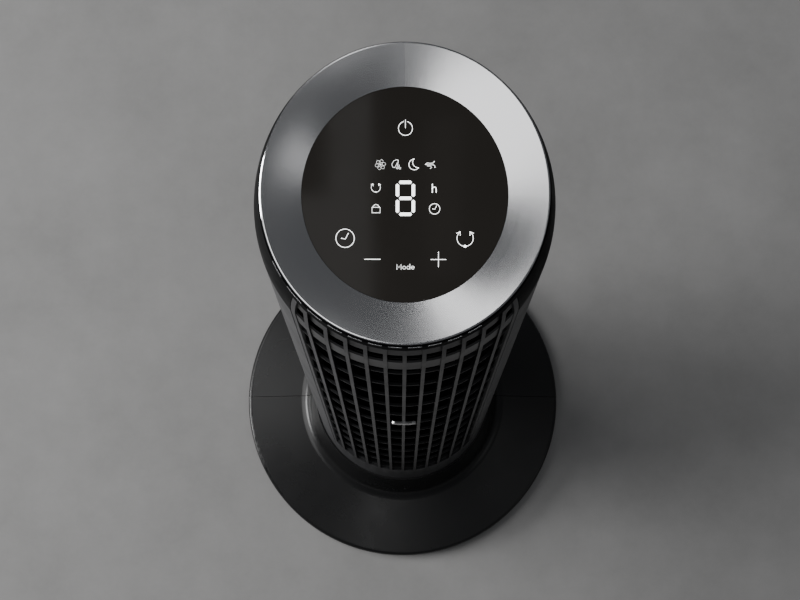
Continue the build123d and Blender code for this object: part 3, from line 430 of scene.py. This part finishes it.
def power_icon(x, y):
    icon = Icon("icon_power", x, y)
    icon.arc(0, -0.1, 3.62, 108, 432, 0.24)
    icon.stroke([(0, 4.3), (0, 0.2)], 0.24)
    icon.finish(icon_glow)


def clock_icon(name, x, y, radius, width):
    icon = Icon(name, x, y)
    icon.circle(0, 0, radius, width)
    icon.stroke([(radius * 0.36, radius * 0.55), (0.1, -radius * 0.08), (-radius * 0.42, 0.0)], width)
    icon.finish(icon_glow)


def swing_icon(name, x, y, radius, width, dot_radius):
    """Open arc with an arrowhead at each end and a dot at the bottom."""
    icon = Icon(name, x, y)
    icon.arc(0, 0, radius, 135, 260, width)
    icon.arc(0, 0, radius, 280, 405, width)
    icon.dot(0, -radius, dot_radius)
    for side in (-1, 1):
        tip = (side * radius * 0.62, radius * 0.80)
        icon.stroke([(side * radius * 1.05, radius * 0.62), tip], width)
        icon.stroke([tip, (side * radius * 0.60, radius * 0.36)], width)
    icon.finish(icon_glow)


def fan_icon(x, y):
    """Six open petals round a hub."""
    icon = Icon("icon_fan", x, y)
    for petal in range(6):
        turn = math.radians(60 * petal + 12)
        icon.circle(1.85 * math.cos(turn), 1.85 * math.sin(turn), 0.82, 0.11, 14)
        icon.stroke([(0.3 * math.cos(turn), 0.3 * math.sin(turn)), (math.cos(turn), math.sin(turn))], 0.10)
    icon.dot(0, 0, 0.28)
    icon.finish(fine_glow)


def leaf_icon(x, y):
    """Large leaf with a small one at its foot."""
    icon = Icon("icon_natural", x, y)
    icon.stroke([(1.1, 2.3), (0.2, 2.6), (-1.3, 1.9), (-2.2, 0.3), (-1.9, -1.2), (-0.7, -1.5)], 0.22)
    icon.stroke([(1.1, 2.3), (1.0, 1.0), (0.4, -0.2)], 0.22)
    icon.stroke([(0.7, 0.9), (0.1, 0.1), (-0.7, -1.5)], 0.16)
    for u, v in ((1.2, -0.6), (0.6, -1.7), (1.9, -1.8)):
        icon.circle(u, v, 0.48, 0.20, 12)
    icon.finish(fine_glow)


def moon_icon(x, y):
    icon = Icon("icon_sleep", x, y)
    icon.arc(0.35, 0.1, 2.75, 95, 323, 0.24)
    icon.arc(2.25, 1.2, 2.72, 142, 276, 0.22)
    icon.finish(icon_glow)


def wind_icon(x, y):
    """Three drifting streams of air."""
    icon = Icon("icon_wind", x, y)
    icon.stroke([(-2.8, 0.2), (-1.7, 0.9), (-0.2, 0.65), (1.0, 0.8), (1.9, 1.7)], 0.30)
    icon.stroke([(-2.5, 0.0), (-0.5, -0.1), (1.3, -0.05), (2.1, -0.6), (2.1, -1.5)], 0.30)
    icon.stroke([(-1.8, -0.6), (-0.2, -0.7), (0.5, -1.4), (-0.3, -2.0)], 0.26)
    icon.finish(fine_glow)


def lock_icon(x, y):
    icon = Icon("icon_lock", x, y)
    icon.stroke([(-2.1, 0.6), (2.1, 0.6), (2.1, -2.2), (-2.1, -2.2)], 0.24, closed=True)
    icon.stroke([(-1.7, 0.7), (-0.9, 1.8), (0, 2.1), (0.9, 1.8), (1.7, 0.7)], 0.22)
    icon.finish(icon_glow)


def digit_segments(x, y):
    """Seven-segment figure, every segment lit."""
    icon = Icon("icon_digit", x, y)
    half_width, half_height, bar = 4.1, 8.3, 0.84
    outline = ((-1.0, 0.0), (-0.82, 1.0), (0.82, 1.0), (1.0, 0.0), (0.82, -1.0), (-0.82, -1.0))
    for level in (half_height, 0, -half_height):
        icon.polygon([(u * (half_width - 0.75), level + v * bar) for u, v in outline])
    for side in (-half_width, half_width):
        for middle in (-half_height / 2, half_height / 2):
            icon.polygon([(side + v * bar, middle + u * (half_height / 2 - 0.75)) for u, v in outline])
    icon.finish(icon_glow)


def bar_icon(name, x, y, length, upright):
    icon = Icon(name, x, y)
    icon.stroke([(-length / 2, 0), (length / 2, 0)], 0.27)
    if upright:
        icon.stroke([(0, -length / 2), (0, length / 2)], 0.27)
    icon.finish(icon_glow)


def hour_letter(x, y):
    icon = Icon("icon_hour", x, y)
    icon.stroke([(-1.05, -2.0), (-1.05, 2.15)], 0.42)
    icon.stroke([(-1.1, 0.0), (-0.5, 0.65), (0.3, 0.7), (0.9, 0.15), (0.95, -2.0)], 0.42)
    icon.finish(icon_glow)


def mode_word(x, y):
    """Plain bold lettering built from strokes."""
    icon = Icon("icon_mode", x, y)
    icon.stroke([(-4.3, -1.3), (-4.3, 1.3), (-3.2, -0.6), (-2.1, 1.3), (-2.1, -1.3)], 0.28)
    icon.circle(-0.55, -0.45, 0.78, 0.26, 18)
    icon.circle(1.65, -0.45, 0.78, 0.26, 18)
    icon.stroke([(2.45, -1.25), (2.45, 1.4)], 0.27)
    icon.arc(3.95, -0.45, 0.78, 0, 312, 0.24, 18)
    icon.stroke([(3.2, -0.45), (4.7, -0.45)], 0.20)
    icon.finish(fine_glow)


power_icon(0, 34.1)
fan_icon(-12.9, 15.3)
leaf_icon(-4.8, 15.3)
moon_icon(4.2, 15.3)
wind_icon(13.1, 15.3)
swing_icon("icon_swing_on", -15.3, 3.5, 2.35, 0.19, 0.30)
hour_letter(15.0, 3.0)
digit_segments(0, -2.1)
lock_icon(-15.2, -7.4)
clock_icon("icon_timer_on", 15.1, -7.6, 2.72, 0.23)
clock_icon("icon_timer", -31.3, -22.9, 4.78, 0.26)
swing_icon("icon_swing", 31.0, -22.9, 4.2, 0.26, 0.75)
bar_icon("icon_minus", -17.2, -33.9, 8.1, False)
bar_icon("icon_plus", 17.2, -34.0, 7.8, True)
mode_word(-0.1, -37.8)


# ----------------------------------------------------------------- painted highlight line
def collar_highlight_line(name, radius, drop, thickness):
    """Thin bright metal line round the collar's top edge, a painted highlight standing in for the light
    the collar's edge catches, broken where the grille ribs rise to it.
    """
    curve = bpy.data.curves.new(name, "CURVE")
    curve.dimensions = "3D"
    curve.bevel_depth = thickness / 2
    curve.bevel_resolution = 2
    run = []
    for step in range(HIGHLIGHT_STEPS + 1):
        turn = math.radians(HIGHLIGHT_START + (HIGHLIGHT_END - HIGHLIGHT_START) * step / HIGHLIGHT_STEPS)
        x, y = radius * math.cos(turn), radius * math.sin(turn)
        to_rib = abs(x - RIB_PITCH * round(x / RIB_PITCH))
        if to_rib < RIB_CLEARANCE or step == HIGHLIGHT_STEPS:
            if len(run) > 3:
                spline = curve.splines.new("POLY")
                spline.points.add(len(run) - 1)
                for point, place in zip(spline.points, run):
                    point.co = (*place, 1.0)
            run = []
        else:
            run.append((x, y, HEAD_CENTRE.z - drop + y * math.tan(HEAD_TILT)))
    holder = bpy.data.objects.new(name + "_curve", curve)
    bpy.context.scene.collection.objects.link(holder)
    bpy.context.view_layer.update()
    data = bpy.data.meshes.new_from_object(holder)
    bpy.data.objects.remove(holder)
    piece = bpy.data.objects.new(name, data)
    bpy.context.scene.collection.objects.link(piece)
    data.materials.clear()
    data.materials.append(materials["badge_metal"])
    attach(piece, "tower")


# Painted highlight: a bright metal line laid where the collar's top edge catches light.
collar_highlight_line("collar_highlight_line", 76.1 * MM, 4.35 * MM, 0.5 * MM)


# --------------------------------------------------------------- floor, lights
def floor_material():
    s = Shader("studio_floor")
    tone = s.ramp(s.noise(7.0, 9.0, 0.74), ((0.3, (0.335, 0.331, 0.326)), (0.7, (0.425, 0.420, 0.415))))
    s.colour(tone)
    s.roughness(s.ramp(s.noise(40.0, 4.0), ((0.3, 0.6), (0.7, 0.8))))
    s.normal(s.bump(s.noise(160.0, 5.0, 0.7), 0.05, 0.0005))
    return s.material


bpy.ops.mesh.primitive_grid_add(x_subdivisions=4, y_subdivisions=4, size=FLOOR_SIZE)
floor = bpy.context.object
floor.name = "floor"
floor.data.materials.append(floor_material())


def area_light(name, place, target, size, power):
    """Rectangular soft light aimed at target."""
    data = bpy.data.lights.new(name, "AREA")
    data.shape = "RECTANGLE"
    data.size, data.size_y = size
    data.energy = power
    lamp = bpy.data.objects.new(name, data)
    bpy.context.scene.collection.objects.link(lamp)
    lamp.location = place
    direction = Vector(target) - Vector(place)
    lamp.rotation_euler = direction.to_track_quat("-Z", "Y").to_euler()


def ceiling_panel(name, x, y, size, power):
    """Soft panel facing straight down; the metal ring and the glass reflect it."""
    area_light(name, (x, y, CEILING), (x, y, 0), size, power)


area_light("main_left", (-1.9, 0.32, 2.0), (0, 0, 0.1), (2.0, 1.5), 35.5)
ceiling_panel("panel_strip", -0.081, -0.90, (0.069, 0.80), 0.38)
ceiling_panel("panel_far", -0.31, -1.05, (0.39, 0.51), 1.28)
ceiling_panel("panel_right", 0.205, -0.86, (0.07, 0.06), 0.010)
ceiling_panel("panel_front", 1.10, -0.30, (0.8, 0.8), 0.8)
ceiling_panel("panel_band", 0.066, -0.80, (0.055, 0.27), 0.016)
area_light("low_left", (-3.0, 0.0, 0.75), (0, 0, 0.2), (1.2, 0.8), 72)
area_light("fill_right", (2.6, -1.2, 2.0), (0, 0, 0.5), (1.2, 1.8), 2)

world = bpy.data.worlds.new("studio")
bpy.context.scene.world = world
world.use_nodes = True
world.node_tree.nodes["Background"].inputs["Color"].default_value = WORLD_COLOUR
world.node_tree.nodes["Background"].inputs["Strength"].default_value = WORLD_STRENGTH

# ---------------------------------------------------------------------- camera
camera_data = bpy.data.cameras.new("camera")
camera_data.sensor_width = 36.0
camera_data.lens = CAMERA_LENS
camera_data.clip_start = 0.05
camera = bpy.data.objects.new("camera", camera_data)
bpy.context.scene.collection.objects.link(camera)
camera.location = CAMERA_PLACE
camera.rotation_euler = (CAMERA_TILT, 0, 0)
bpy.context.scene.camera = camera
